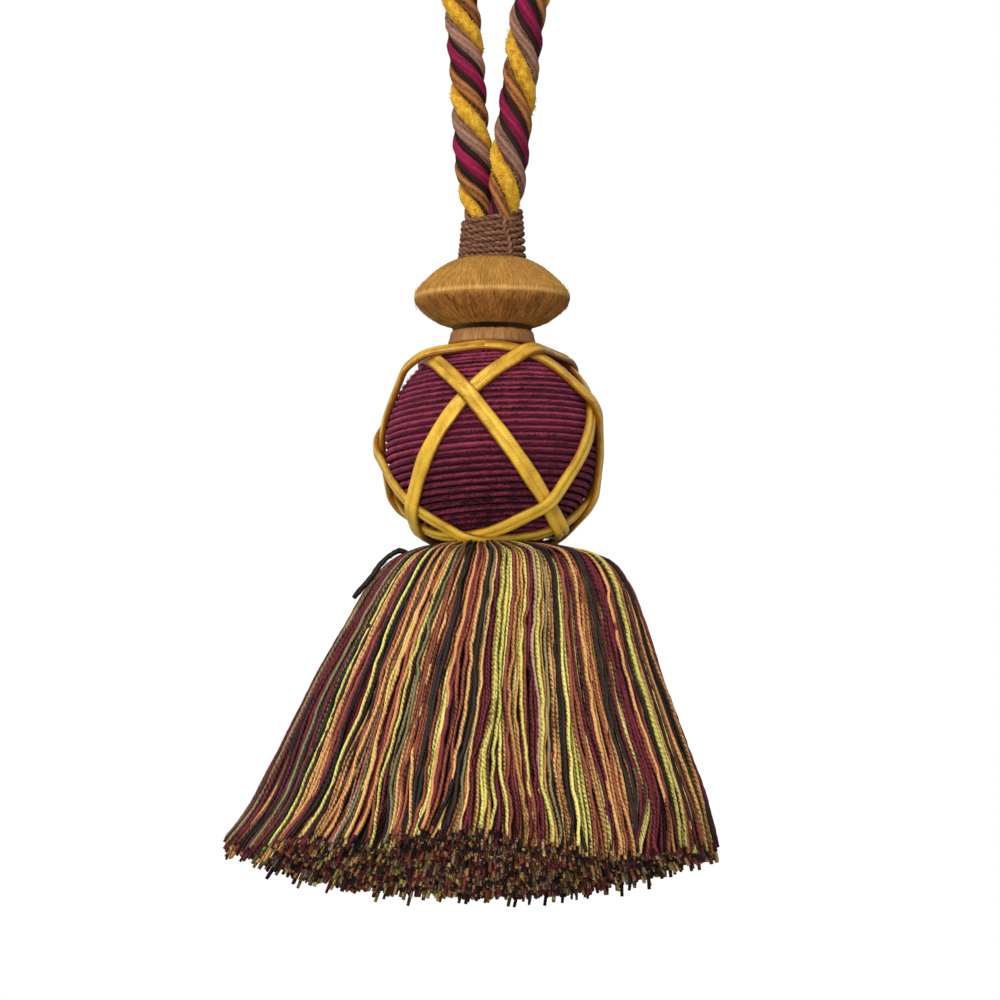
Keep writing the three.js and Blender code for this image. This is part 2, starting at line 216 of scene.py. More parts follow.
# tubes with any section, collected into one mesh
class Bundle:
    def __init__(self):
        self.points, self.quads, self.lays = [], [], []
        self.tones, self.kinds, self.looks = [], [], []
        self.total = 0

    def tubes(self, centres, outward, across, out, look=0, tone=0.5, closed=False, start=0.0, kind=0.5):
        count, steps = centres.shape[:2]
        across, out = np.broadcast_arrays(across, out)
        sides = across.shape[-1]
        along = np.roll(centres, -1, 1) - np.roll(centres, 1, 1) if closed else np.gradient(centres, axis=1)
        along = unit(along)
        outward = squareTo(along, np.broadcast_to(outward, centres.shape))
        sideways = np.cross(outward, along)
        points = centres[:, :, None] + across[..., None] * sideways[:, :, None]
        points = points + out[..., None] * outward[:, :, None]
        grid = np.arange(count * steps * sides).reshape(count, steps, sides) + self.total
        ahead = np.roll(centres, -1, 1) if closed else centres[:, 1:]
        lengths = np.linalg.norm(ahead - centres[:, :ahead.shape[1]], axis=-1)
        run = np.concatenate([np.zeros((count, 1)), np.cumsum(lengths, 1)], 1) + np.reshape(start, (-1, 1))
        here = grid[:, :lengths.shape[1]]
        there = np.roll(grid, -1, 1)[:, :lengths.shape[1]]
        quads = np.stack([here, np.roll(here, -1, 2), np.roll(there, -1, 2), there], -1)
        u = np.arange(sides) / sides
        u = np.stack([u, u + 1 / sides, u + 1 / sides, u], -1)
        v = np.stack([run[:, :-1], run[:, :-1], run[:, 1:], run[:, 1:]], -1)
        lay = np.stack(np.broadcast_arrays(u[None, None], v[:, :, None]), -1)
        self.keep(quads, lay, look)
        if not closed:  # fill both ends
            fan = np.array([[0, j, j + 1, j + 2] for j in range(1, sides - 2, 2)])
            for ring, order, end in ((grid[:, 0], fan[:, ::-1], run[:, :1]), (grid[:, -1], fan, run[:, -1:])):
                caps = ring[:, order]
                ends = np.broadcast_to(end[:, :, None], caps.shape)
                self.keep(caps, np.stack([np.full(caps.shape, 0.25), ends], -1), look)
        tone = np.reshape(tone, (-1, 1, 1)) if np.ndim(tone) < 2 else tone
        self.points.append(points.reshape(-1, 3))
        self.tones.append(np.broadcast_to(tone, (count, steps, sides)).ravel())
        self.kinds.append(np.broadcast_to(np.reshape(kind, (-1, 1, 1)), (count, steps, sides)).ravel())
        self.total += count * steps * sides
        return points

    def roundTubes(self, centres, outward, girth, *settings, **named):  # girth: the radius at each corner
        section = np.arange(girth.shape[-1]) * turn / girth.shape[-1]
        across, out = girth * np.cos(section), girth * np.sin(section)
        return self.tubes(centres, outward, across, out, *settings, **named)

    def fibres(self, roots, tips, radius, look, tone):  # short tapering hairs
        centres = np.stack([roots, tips], 1)
        aside = np.cross(tips - roots, np.array([0.31, 0.52, 0.79]))[:, None]
        taper = np.array([1, 0.35])[None, :, None] * np.reshape(radius, (-1, 1, 1))
        self.roundTubes(centres, aside, taper * np.ones(4), look, tone)

    def keep(self, quads, lay, look):
        self.quads.append(quads.reshape(-1, 4))
        self.lays.append(lay.reshape(-1, 2))
        self.looks.append(np.full(quads.size // 4, look))

    def build(self, name, looks):
        points = np.concatenate(self.points) * mm
        quads = np.concatenate(self.quads)
        mesh = bpy.data.meshes.new(name)
        mesh.from_pydata(points, [], quads, shade_flat=False)
        mesh.polygons.foreach_set("material_index", np.concatenate(self.looks))
        mesh.uv_layers.new(name="lay").data.foreach_set("uv", np.concatenate(self.lays).ravel())
        for attribute, values in (("tone", self.tones), ("kind", self.kinds)):
            mesh.attributes.new(attribute, "FLOAT", "POINT").data.foreach_set("value", np.concatenate(values))
        mesh.validate()
        for look in looks:
            mesh.materials.append(look.material)
        piece = bpy.data.objects.new(name, mesh)
        scene.collection.objects.link(piece)
        print(name, len(quads) * 2, "triangles")
        return piece


def settle(piece, slot, *nodes):
    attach(piece, "root")
    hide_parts(*nodes)


# camera at the photo's angle: far off, a little below the ball, looking up
view = {
    "frameWidth": 0.165, "distance": 4.0, "elevation": -7.2, "target": (0.0013, 0.0, -0.1193), "sensor": 36,
}
lookUp = radians(view["elevation"])
away = view["distance"] * np.array([0, -cos(lookUp), sin(lookUp)])
bpy.ops.object.camera_add(location=tuple(view["target"] + away), rotation=(pi / 2 - lookUp, 0, 0))
camera = bpy.context.object
camera.data.sensor_width = view["sensor"]
camera.data.lens = view["sensor"] * view["distance"] / view["frameWidth"]
camera.data.clip_end = 60
scene.camera = camera
scene.view_settings.view_transform = "Standard"
print("camera set")

# twisted cord loop: thick strands S-laid round the route, with thin dark ones between
cord = {
    "diameter": 6.0, "length": 182.5, "steps": 520,
    "pinch": 0.74, "pinchEnds": (6.0, 12.5),  # how thin it is in the whipping, and where it widens
    # where the lay opens above the whipping: distance from the foot, spread, share
    "swell": (17.0, 4.5, 0.08),
    # millimetres from the left foot, and turns of the lay by there
    "lay": [(0, -0.41), (6.7, 0), (23.6, 1), (39.5, 2), (151.3, 8), (170.4, 9), (183, 9.65)],
    # look, angle round the cord, strand radius, distance from the middle, yarns in the strand
    "strands": [
        (0, 0, 1.32, 1.71, 0), (1, -87, 1.14, 1.9, 7), (2, -135, 0.78, 1.9, 2),
        (3, -179, 1.03, 2.0, 6), (2, -223, 0.8, 1.9, 2), (4, -271, 1.08, 1.9, 5),
    ],
    "chenille": ((176, 118, 18), (228, 182, 54)),
    "crest": 0.62,  # painted light and shade: how much lighter a strand is on its outside
    "yarnTwist": 26.0, "yarnRelief": 0.03,
    # count, reach, radius and stray of the wool's hairs, and of the chenille's tufts
    "hairs": (1000, 0.3, 0.02, 0.6),
    "tufts": (5000, 0.3, (0.06, 0.12), 0.45),
    "route": [
        (-1.9, 0.4, -79), (-1.95, 0.5, -75.2), (-2.25, 1.1, -71.8), (-2.55, 1.3, -67.9), (-3.1, 0.8, -62.7),
        (-3.65, 0.3, -55.5), (-4.2, 0.1, -47), (-5, 0, -38), (-6.7, 0, -30.5), (-9, 0, -23.5),
        (-11.2, 0, -17), (-12.6, 0, -10.8), (-12.3, 0, -5), (-9.7, 0, -0.3), (-5.4, 0, 2.3), (0, 0, 3),
        (5.4, 0, 2.3), (9.8, 0, -0.3), (12.5, 0, -5), (13, 0, -10.8), (12, 0, -17), (10.2, 0, -23.5),
        (8.2, 0, -30.5), (6.05, 0, -38), (4.85, -0.1, -47), (3.8, -0.5, -55.5), (2.8, -1.1, -62.7),
        (2.4, -1.4, -67.9), (1.95, -1.2, -71.8), (1.9, -0.6, -75.2), (1.9, -0.4, -79),
    ],
}


def chenilleLook():
    look = Look("goldChenille", 0.5, (255, 215, 110), gloss=0.2)
    tuft = look.noise(1000)
    grain = look.noise(4200)
    light = (tuft - 0.36) * 2.2 + (grain - 0.5) * 0.6 + look.own("tone") * 0.9 - 0.35
    return look.finish(look.dyed(light, cord["chenille"]), 0.85 - tuft * 0.1, tuft + grain * 0.4, 0.35)


def strandLook(name, shade, lit, plies, plied, sheen, speckle=0.9):
    return threadLook(name, shade, lit, plies, cord["yarnTwist"], plied, speckle, 0.3, sheen, depth=0.09)


cordLooks = [
    chenilleLook(),
    strandLook("taupeStrand", (60, 38, 30), (172, 126, 102), 7, 0.35, 0.5),
    strandLook("darkStrand", (8, 4, 3), (50, 24, 18), 5, 0.5, 0.1, 1.2),
    strandLook("raspberryStrand", (48, 3, 22), (150, 24, 68), 6, 0.35, 0.45),
    strandLook("copperStrand", (46, 26, 14), (172, 108, 56), 5, 0.6, 0.3, 1.1),
]


def strandGirth(radius, yarns, section, middle):
    girth = radius[:, None] * np.ones(len(section))
    if not yarns:  # chenille is lumpy
        lumps = rng.normal(0, 1, girth.shape)
        lumps = (lumps + np.roll(lumps, 1, 0) + np.roll(lumps, -1, 0) + np.roll(lumps, 1, 1)) / 2
        return girth * (1 + 0.045 * lumps)
    ridge = np.sin(yarns * section[None] + turn * lengthAlong(middle)[:, None] / cord["yarnTwist"])
    girth = girth * (1 + cord["yarnRelief"] * ridge)  # its yarns stand as low ridges
    girth = girth * (1 + drift(1, len(girth), 60, 0.02)[0][:, None])
    return girth * (1 + rng.normal(0, 0.012, girth.shape))


def feetOn(shell, middle, count):  # random places on a strand, and the way out of it there
    steps, sides = shell.shape[:2]
    step = rng.integers(2, steps - 2, count)
    foot = shell[step, rng.integers(0, sides, count)]
    return foot, unit(foot - middle[step])


def addHairs(bundle, shell, middle, look):  # wool stands off the smooth strands
    count, reach, radius, stray = cord["hairs"]
    foot, away = feetOn(shell, middle, count)
    lean = unit(away + rng.normal(0, stray, (count, 3)))
    reach = (reach * rng.uniform(0.25, 1, count) ** 1.5)[:, None]
    tone = rng.uniform(0.5, 1, count)
    bundle.fibres(foot - away * 0.05, foot + lean * reach, radius, look, tone)


def addTufts(bundle, shell, middle, look):  # the chenille's pile
    count, reach, radii, stray = cord["tufts"]
    foot, away = feetOn(shell, middle, count)
    foot = foot + rng.normal(0, 0.12, (count, 3))
    reach = (reach * rng.uniform(0.3, 1, count))[:, None]
    tips = foot + unit(away + rng.normal(0, stray, (count, 3))) * reach
    radius = rng.uniform(*radii, count)
    tone = rng.uniform(0.3, 0.9, count)
    bundle.fibres(foot - away * 0.15, tips, radius, look, tone)


def makeCord():
    path, run = smoothCurve(cord["route"], cord["steps"])
    along = unit(np.gradient(path, axis=0))
    forward = squareTo(along, front)
    aside = np.cross(along, forward)
    laid = np.interp(run, *zip(*cord["lay"]))
    fromFoot = np.minimum(run, run[-1] - run)
    slim = cord["pinch"] + (1 - cord["pinch"]) * smoothStep(*cord["pinchEnds"], fromFoot)
    swellAt, spread, share = cord["swell"]
    slim = slim + share * np.exp(-((fromFoot - swellAt) / spread) ** 2)
    bundle = Bundle()
    for look, angle, radius, centre, yarns in cord["strands"]:
        swing = radians(angle) - turn * laid
        spoke = forward * np.cos(swing)[:, None] + aside * np.sin(swing)[:, None]
        middle = path + spoke * (centre * slim)[:, None]
        sides = max(10, 3 * yarns // 2 * 2) if yarns else 16
        section = np.arange(sides) * turn / sides
        girth = strandGirth(radius * slim, yarns, section, middle)
        tone = 0.5 + drift(1, cord["steps"], 40, 0.1)[0][None, :, None]
        tone = tone + cord["crest"] * (np.sin(section) - 0.7)  # painted shade: dark where strands meet
        shell = bundle.roundTubes(middle[None], spoke[None], girth[None], look, tone)[0]
        if yarns > 2:
            addHairs(bundle, shell, middle, look)
        if not yarns:
            addTufts(bundle, shell, middle, look)
    piece = bundle.build("cordLoop", cordLooks)
    settle(piece, "cord", "cord_loop")
    print("cord", round(run[-1], 1), "mm")


makeCord()

# neck whipping: two-ply twine, wound over both feet of the cord, with a crossing at the right front
whipping = {
    "twine": 0.54, "ply": 0.33, "twist": 2.0, "step": 0.2,
    "turns": 7.7, "start": -2.2,
    "base": -79.8, "top": -71.7, "topWide": 10.3, "baseWide": 11.5, "depth": 7.2,
    "fullness": 0.85,  # power of a turn's outline: 1 is an ellipse, less is fuller
    "slant": 0.12, "steepen": 0.035,
    # foot and head of the crossing, in x and height above the base
    "crossing": ((3.0, 0.3), (2.2, 7.4)),
    "crossingBow": (0.25, 0.5, 0.35),  # how far it sways, is sunk at its ends and stands out
}
twineLook = threadLook(
    "brownTwine", (42, 24, 17), (154, 106, 79), 1, 1.6, 0.42, sheen=0.2, rough=0.55, depth=0.06
)


def addTwine(bundle, path, phase, tone):
    length = lengthAlong(path)[-1]
    path, run = smoothCurve(path, int(length / whipping["step"]) + 8)
    along = unit(np.gradient(path, axis=0))
    outward = squareTo(along, path * np.array([1, 1, 0]))
    aside = np.cross(outward, along)
    offset = whipping["twine"] - whipping["ply"]
    waves = max(4, int(length / 3))
    for ply in (0, pi):
        spin = -turn * run / whipping["twist"] + ply + phase
        spoke = outward * np.cos(spin)[:, None] + aside * np.sin(spin)[:, None]
        girth = whipping["ply"] * (1 + drift(1, len(run), waves, 0.06)[0])[:, None] * np.ones(6)
        bundle.roundTubes((path + spoke * offset)[None], spoke[None], girth[None], 0, tone)


def fuller(wave):
    return np.sign(wave) * np.abs(wave) ** whipping["fullness"]


def makeWhipping():
    bundle = Bundle()
    twine, base, start = whipping["twine"], whipping["base"], whipping["start"]
    angle = np.linspace(start, start + turn * whipping["turns"], 420)
    share = (angle - angle[0]) / (angle[-1] - angle[0])
    wide = (whipping["baseWide"] * (1 - share) + whipping["topWide"] * share) / 2 - twine
    deep = whipping["depth"] / 2 - twine
    x = wide * fuller(np.sin(angle))
    y = -deep * fuller(np.cos(angle))
    lift = twine + (whipping["top"] - base - 2 * twine) * share + drift(1, len(angle), 60, 0.07)[0]
    tilt = whipping["slant"] * x + whipping["steepen"] * np.maximum(x - 1, 0) ** 2
    z = base + lift + tilt * smoothStep(0, 0.6, share)
    addTwine(bundle, np.stack([x, y, z], 1), 0, 0.5)
    foot, head = whipping["crossing"]  # the end comes up over the turns and tucks under the last
    sway, sunk, proud = whipping["crossingBow"]
    t = np.linspace(0, 1, 24)
    x = foot[0] + (head[0] - foot[0]) * t + sway * np.sin(t * turn)
    height = foot[1] + (head[1] - foot[1]) * t
    bow = fuller(np.sqrt(np.clip(1 - (2 * x / whipping["baseWide"]) ** 2, 0.05, 1)))
    y = -whipping["depth"] / 2 * bow + sunk - proud * np.sin(t * pi) ** 0.4
    addTwine(bundle, np.stack([x, y, base + height], 1), 1.3, 0.58)
    settle(bundle.build("neckWhipping", [twineLook]), "twine", "neck_whipping")


makeWhipping()


def choose(action):
    bpy.ops.mesh.select_all(action=action)


# silk floss over a turned mould: a profile spun round, its threads as fine ridges
def spinProfile(name, profile, steps):
    bpy.ops.object.select_all(action="DESELECT")
    bpy.ops.mesh.primitive_plane_add(size=mm, location=(0, 0, 0))
    piece = bpy.context.object
    piece.name = name
    piece.data.name = name
    bpy.ops.object.mode_set(mode="EDIT")
    choose("SELECT")
    bpy.ops.mesh.merge(type="CENTER")
    points = [np.array([r, 0, z]) * mm for r, z in profile]
    bpy.ops.transform.translate(value=tuple(points[0]))
    for here, there in zip(points, points[1:]):
        bpy.ops.mesh.extrude_vertices_move(TRANSFORM_OT_translate={"value": tuple(there - here)})
    choose("SELECT")
    bpy.ops.mesh.spin(steps=steps, angle=turn, center=(0, 0, 0), axis=(0, 0, 1))
    choose("SELECT")
    bpy.ops.mesh.remove_doubles(threshold=0.01 * mm)
    choose("DESELECT")
    bpy.ops.mesh.select_non_manifold()
    bpy.ops.mesh.fill_holes(sides=0)  # the flat ends
    choose("SELECT")
    bpy.ops.mesh.normals_make_consistent(inside=False)
    bpy.ops.object.mode_set(mode="OBJECT")
    bpy.ops.object.shade_smooth()
    return piece


def ridgeThreads(piece, steps, size, patchy, lock=6):  # every other meridian stands out, unevenly
    mesh = piece.data
    co = np.empty(len(mesh.vertices) * 3)
    normal = np.empty_like(co)
    mesh.vertices.foreach_get("co", co)
    mesh.vertices.foreach_get("normal", normal)
    co, normal = co.reshape(-1, 3), normal.reshape(-1, 3)
    step = np.round(np.arctan2(co[:, 1], co[:, 0]) / turn * steps).astype(int) % steps
    ridge = np.where(np.arange(steps) % 2, -1.0, 1.0) * rng.uniform(0.4, 1, steps)
    ridge = ridge + rng.normal(0, patchy, steps // lock).repeat(lock)
    co = co + normal * (ridge[step] * size * mm)[:, None]
    mesh.vertices.foreach_set("co", co.ravel())
    mesh.update()


def silkLook(name, tint, threads, contrast, paint):
    # threads run up and down, so the noise is drawn out along the height
    look = Look(name, 0.55, tint, gloss=0.12)
    x, y, z = look.split(look.place())
    angle = look.maths("ARCTAN2", x, y * -1)
    height = z * (1 / mm)
    floss = look.drawn(angle * threads, height * 0.5, 0, 3.0, 0.65)
    fine = look.drawn(angle * threads * 2.6, height * 1.5, 7, 2.0, 0.6)
    patch = look.drawn(angle * 5, height * 0.3, 4)
    light = (floss - 0.5) * contrast + (fine - 0.5) * contrast * 0.7 + (patch - 0.5) * 0.9 + 0.5
    return look.finish(paint(look, light, height), 0.62 + fine * 0.25, floss * 0.6 + fine * 0.6, 0.14)


boreRadius = 1.2  # the outlines end this near the axis

bun = {
    # radius and drop of the mould's outline, neck to foot
    "outline": [
        (4.8, 0), (5.6, 0.1), (7.4, 0.8), (9.5, 2.2), (11.3, 3.9), (12.4, 5.2), (12.85, 6.3), (12.55, 7.3),
        (11.7, 8.4), (9.9, 9.85), (8.0, 10.75), (6.9, 11.1), (6.55, 11.25), (6.5, 11.6), (6.5, 11.95),
    ],
    # painted light and shade: a darker silk on the underside, a pale highlight along the rim, and a
    # near-black neck from darkFrom down
    "darkFrom": 11.1, "rimDrop": 6.2,
    "topSilk": ((108, 64, 14), (208, 152, 74)),
    "shadedUnderSilk": ((78, 40, 14), (198, 128, 60)),
    "rimHighlightSilk": ((172, 118, 56), (244, 198, 122)),
    "dark": (5, 4, 4),
    "meridians": 480, "ridge": 0.07,
    "floss": (4200, 2.2, 0.026, 0.11),  # count, reach, radius and stray
}


def bunPaint(look, light, height):
    rim = bunTop - bun["rimDrop"]
    dark = bunTop - bun["darkFrom"]
    # painted shade on the underside, a painted highlight along the rim, and painted shade at the neck
    top = look.dyed(light, bun["topSilk"])
    under = look.dyed((light - 0.5) * 1.6 + 0.52, bun["shadedUnderSilk"])
    edge = look.dyed(light, bun["rimHighlightSilk"])
    fromRim = look.maths("ABSOLUTE", height - rim)
    below = look.ramp(height, rim - 1.0, rim - 0.4, 1.0, 0.0)
    rimHighlight = look.ramp(fromRim, 0.08, 0.5, 0.7, 0.0)
    shaded = look.ramp(height, dark - 0.15, dark, 1.0, 0.0)
    colour = look.mix(rimHighlight, look.mix(below, top, under), edge)
    return look.mix(shaded, colour, linear(*bun["dark"]))


bunLook = silkLook("goldSilk", (226, 172, 84), 54, 1.7, bunPaint)
flossLook = threadLook("looseFloss", (92, 50, 18), (226, 172, 92), 1, 2.0, speckle=0.4, sheen=0.2)


def joinTo(piece, other):
    bpy.ops.object.select_all(action="DESELECT")
    other.select_set(True)
    piece.select_set(True)
    bpy.context.view_layer.objects.active = piece
    bpy.ops.object.join()


def makeBun():
    outline = smoothCurve(bun["outline"], 48)[0] * np.array([1, -1]) + np.array([0, bunTop])
    profile = np.vstack([[(boreRadius, outline[0, 1])], outline, [(boreRadius, outline[-1, 1])]])
    piece = spinProfile("silkBun", profile, bun["meridians"])
    ridgeThreads(piece, bun["meridians"], bun["ridge"], 0.3)
    piece.data.materials.append(bunLook.material)
    bundle = Bundle()
    count, reach, radius, stray = bun["floss"]
    pick = rng.integers(2, len(profile) - 4, count)
    angle = rng.uniform(0, turn, count)
    radial = np.stack([np.cos(angle), np.sin(angle), 0 * angle], 1)
    aside = np.cross(up, radial)
    foot = radial * profile[pick, :1] + up * profile[pick, 1:]
    slope = unit(np.gradient(profile, axis=0)[pick])
    along = radial * slope[:, :1] + up * slope[:, 1:]
    away = radial * -slope[:, 1:] + up * slope[:, :1]
    above = profile[pick, 1] > bunTop - bun["rimDrop"]
    run = along * np.where(above, -1, 1)[:, None]  # away from the rim
    run = run + aside * rng.normal(0, stray, (count, 1))
    run = run - away * rng.uniform(0, 0.1, (count, 1))
    length = lengthAlong(profile)
    room = np.where(above, length[pick], length[-3] - length[pick] - 1.9)  # clear of the dark foot
    reach = np.clip(reach * rng.uniform(0.3, 1, count), 0.1, np.maximum(room, 0.15))[:, None]
    root = foot + away * 0.04
    # painted shade: floss below the rim is darker than above it
    tone = np.where(above, rng.uniform(0.5, 1, count), rng.uniform(0, 0.5, count))
    bundle.fibres(root, root + unit(run) * reach, radius, 0, tone)
    joinTo(piece, bundle.build("bunFloss", [flossLook]))
    settle(piece, "bun_silk", "bun")


makeBun()

collar = {
    "height": 2.4, "topRadius": 6.8, "baseRadius": 7.2, "round": 0.55, "meridians": 300, "ridge": 0.07,
    "silk": ((142, 86, 44), (230, 172, 110)),
}


def collarPaint(look, light, height):
    return look.dyed(light, collar["silk"])


collarLook = silkLook("tanSilk", collar["silk"][1], 44, 1.9, collarPaint)


def curveTo(start, control, end, steps):
    t = np.linspace(0, 1, steps, endpoint=False)[:, None]
    start, control, end = (np.array(p, float) for p in (start, control, end))
    return start * (1 - t) ** 2 + 2 * control * t * (1 - t) + end * t ** 2


def makeCollar():
    top, base, edge = collar["topRadius"], collar["baseRadius"], collar["round"]
    low = collarTop - collar["height"]
    shoulder, waist = (top + 0.05, collarTop - edge), (base, low + edge)
    profile = np.vstack([
        [(boreRadius, collarTop)],
        curveTo((top - edge, collarTop), (top, collarTop), shoulder, 4),
        curveTo(shoulder, (top + 0.15, low + 2 * edge), waist, 8),
        curveTo(waist, (base, low), (base - edge, low), 4),
        [(base - edge, low), (boreRadius, low)],
    ])
    piece = spinProfile("silkCollar", profile, collar["meridians"])
    ridgeThreads(piece, collar["meridians"], collar["ridge"], 0.4)
    piece.data.materials.append(collarLook.material)
    settle(piece, "collar_silk", "collar")


makeCollar()
print("bun and collar spun")

# ball: one length of yarn wound level from the collar down to the skirt, with painted shade dark between the
# turns
ball = {
    "pitch": 1.2,
    "open": 0.15,  # share that the turns are closer at the top and wider at the foot
    "rise": 3.5,  # degrees that the turns climb to the right across the front
    "yarn": 0.41, "sides": 6, "stepsEach": 160, "start": 1.4,
    "topRadius": 6.2, "footRadius": 4.6, "underRadius": (17.3, 17.05),
    "sway": 0.06,
    "tone": (0.84, 0.0),  # painted shade: lighter at the top and darker at the foot
    "yarnDye": ((24, 10, 13), (166, 58, 86)),
    "underShadedFoot": ((14, 5, 7), (46, 16, 22)), "underLitTop": ((70, 24, 34), (136, 50, 70)),
    "fuzz": (9000, 0.6, 0.028, 0.8),  # count, reach, radius and stray
}


def burgundyLook():
    look = Look("burgundyYarn", 0.8, (190, 92, 122), gloss=0.1)
    around, along = look.lay()
    ply = (around * 3 + along * 0.3).wave()
    fibre = look.drawn(around * 14, along * 1.8, 3, 3.0, 0.65)
    grain = look.noise(3600, 3.0, 0.6)
    blotch = look.noise(420)
    crown = (around + 0.06).wave() ** 4  # painted highlight: 1 on the outside of the turn, a little above
    rough = (fibre - 0.5) * 1.1 + (grain - 0.5) * 2.0 + (blotch - 0.5)
    tone = look.own("tone")
    # painted shade off each turn's crest, deeper where the tone is low
    light = (crown - 1) * (0.95 - tone * 0.5) + ply * 0.12 + rough + tone + 0.11
    height = fibre + grain * 0.9 + ply * 0.2
    return look.finish(look.dyed(light, ball["yarnDye"]), 0.8 + grain * 0.15, height, 0.16)


def underLook():
    look = Look("underWinding", gloss=0.05)
    x, y, z = look.split(look.place())
    height = z * (1 / mm)
    wound = look.drawn(height * 2.2, x * 300, 0)
    # painted shade: the winding under the turns is near-black at the foot and lighter towards the top
    upper = look.ramp(height, ballCentre - 9, ballCentre + 12, 0.0, 1.0)
    foot, top = look.dyed(wound, ball["underShadedFoot"]), look.dyed(wound, ball["underLitTop"])
    look.set("Base Color", look.mix(upper, foot, top))
    look.set("Roughness", 0.95)
    return look


ballLooks = [burgundyLook(), underLook()]


def makeBall():
    high = acos(ball["topRadius"] / ballRadius)
    low = -acos(ball["footRadius"] / ballRadius)
    turns = (high - low) * ballRadius / ball["pitch"]
    steps = int(turns * ball["stepsEach"])

    def waver(each, size):  # smooth wander, so many waves to a turn
        return drift(1, steps, int(turns * each), size)[0]

    angle = np.linspace(0, turn * turns, steps) + ball["start"]
    share = np.linspace(0, 1, steps)
    fallen = share * (1 - ball["open"] + ball["open"] * share)
    latitude = high + (low - high) * fallen + waver(5, ball["sway"] / ballRadius)
    radius = ballRadius - ball["yarn"] + waver(6, 0.035)
    level, tall = np.cos(latitude), np.sin(latitude)
    rise = radians(ball["rise"])
    aside = level * np.sin(angle)
    radial = np.stack([
        aside * cos(rise) - tall * sin(rise),
        -level * np.cos(angle),
        aside * sin(rise) + tall * cos(rise),
    ], 1)
    centres = radial * radius[:, None] + up * ballCentre
    skin = rng.normal(0, 0.08, (steps, ball["sides"]))
    girth = ball["yarn"] * (1 + ball["open"] * (2 * share[:, None] - 1) + skin)
    girth = girth * (1 + waver(9, 0.05)[:, None])
    # painted shade: turns lighter at the top, darker towards the foot
    tone = np.linspace(*ball["tone"], steps) + waver(5, 0.12)
    bundle = Bundle()
    bundle.roundTubes(centres[None], radial[None], girth[None], 0, tone[None, :, None])
    count, reach, radius, stray = ball["fuzz"]
    pick = rng.integers(steps // 40, steps - steps // 40, count)
    foot = centres[pick] + radial[pick] * ball["yarn"] * 0.9
    lean = unit(radial[pick] + rng.normal(0, stray, (count, 3)))
    reach = (reach * rng.uniform(0.3, 1, count) ** 1.5)[:, None]
    bundle.fibres(foot - lean * 0.05, foot + lean * reach, radius, 0, tone[pick] + 0.2)
    piece = bundle.build("woundBall", ballLooks)
    arc = np.linspace(high, low, 40)
    radius = np.linspace(*ball["underRadius"], len(arc))[:, None]
    profile = np.stack([np.cos(arc), np.sin(arc)], 1) * radius + np.array([0, ballCentre])
    core = spinProfile("underWinding", profile, 96)
    core.data.materials.append(ballLooks[1].material)
    joinTo(piece, core)
    settle(piece, "ball_yarn", "ball")


makeBall()

# five rings of flat gimp, pulled taut over the ball and woven over and under each other
gimp = {
    "width": 2.8, "thickness": 1.1, "sink": 0.12, "press": 0.92, "steps": 360,
    "hold": 0.42,  # half the stretch that a crossing holds up, as a share of the width
    "silk": ((128, 70, 5), (255, 206, 70)),
    # how far each ring shows its two cords, 0 plain to 1, which also deepens the painted shade in its groove
    "lobes": (0.75, 0.2, 0.3, 0.65, 0.3),
    # direction that the top leans to, tilt, and how far the ring sits off the middle, in degrees
    "rings": [(-86, 52.6, 0.3), (59, 55, 1), (-7, 63.5, 4.2), (148.5, 61, 1.4), (-167.6, 53.4, 11.8)],
    # pair of rings, and which lies over at the upper and at the lower crossing
    "crossings": [
        (0, 1, 0, 0), (0, 2, 2, 2), (0, 3, 0, 3), (0, 4, 0, 0), (1, 2, 1, 1),
        (1, 3, 1, 1), (1, 4, 1, 1), (2, 3, 2, 2), (2, 4, 4, 2), (3, 4, 3, 4),
    ],
    # where a ring rides over two others at once: ring, degrees from its crest, half its stretch, lift
    "stacks": [(2, -38, 0.12, 1.5)],
    # outer face of the tape, edge to edge, then its back
    "face": (-1, -0.95, -0.8, -0.52, -0.28, -0.1, 0, 0.1, 0.28, 0.52, 0.8, 0.95),
    "back": (1, 0.9, 0.5, 0, -0.5, -0.9),
    # the face's middle and half its reach, as shares of the way round the section
    "middle": 0.61, "reach": 0.31,
}


def gimpLook():
    look = Look("goldGimp", 0.04, (255, 220, 120), gloss=0.95)
    look.set("Specular Tint", linear(255, 218, 140))
    around, along = look.lay()
    slant = along + around * 3.4
    wrap = (slant * 2.6).wave()  # fine silk wrapped on the slant round the tape
    strand = look.drawn(around * 3, slant * 6, 0, 3.0, 0.65)
    patch = look.drawn(around * 3, along * 0.25, 9)
    aside = look.maths("ABSOLUTE", around - gimp["middle"]) * (1 / gimp["reach"])
    # painted shade: darker towards the tape's edges and along the groove between its two cords
    edge = look.ramp(aside, 0.66, 1.0, 0.0, 0.75)
    grooveShade = look.ramp(aside, 0.0, 0.2, 0.3, 0.0) * look.own("kind")
    light = (strand - 0.5) * 0.8 + (patch - 0.5) * 1.2 + wrap * 0.1 + look.own("tone") - edge - grooveShade
    return look.finish(look.dyed(light, gimp["silk"]), 0.22 + strand * 0.14, wrap * 0.3 + strand * 0.8, 0.05)


goldGimp = gimpLook()
gimpSeat = ballRadius - gimp["sink"] + gimp["thickness"] / 2
gimpTurns = np.arange(gimp["steps"]) * turn / gimp["steps"]


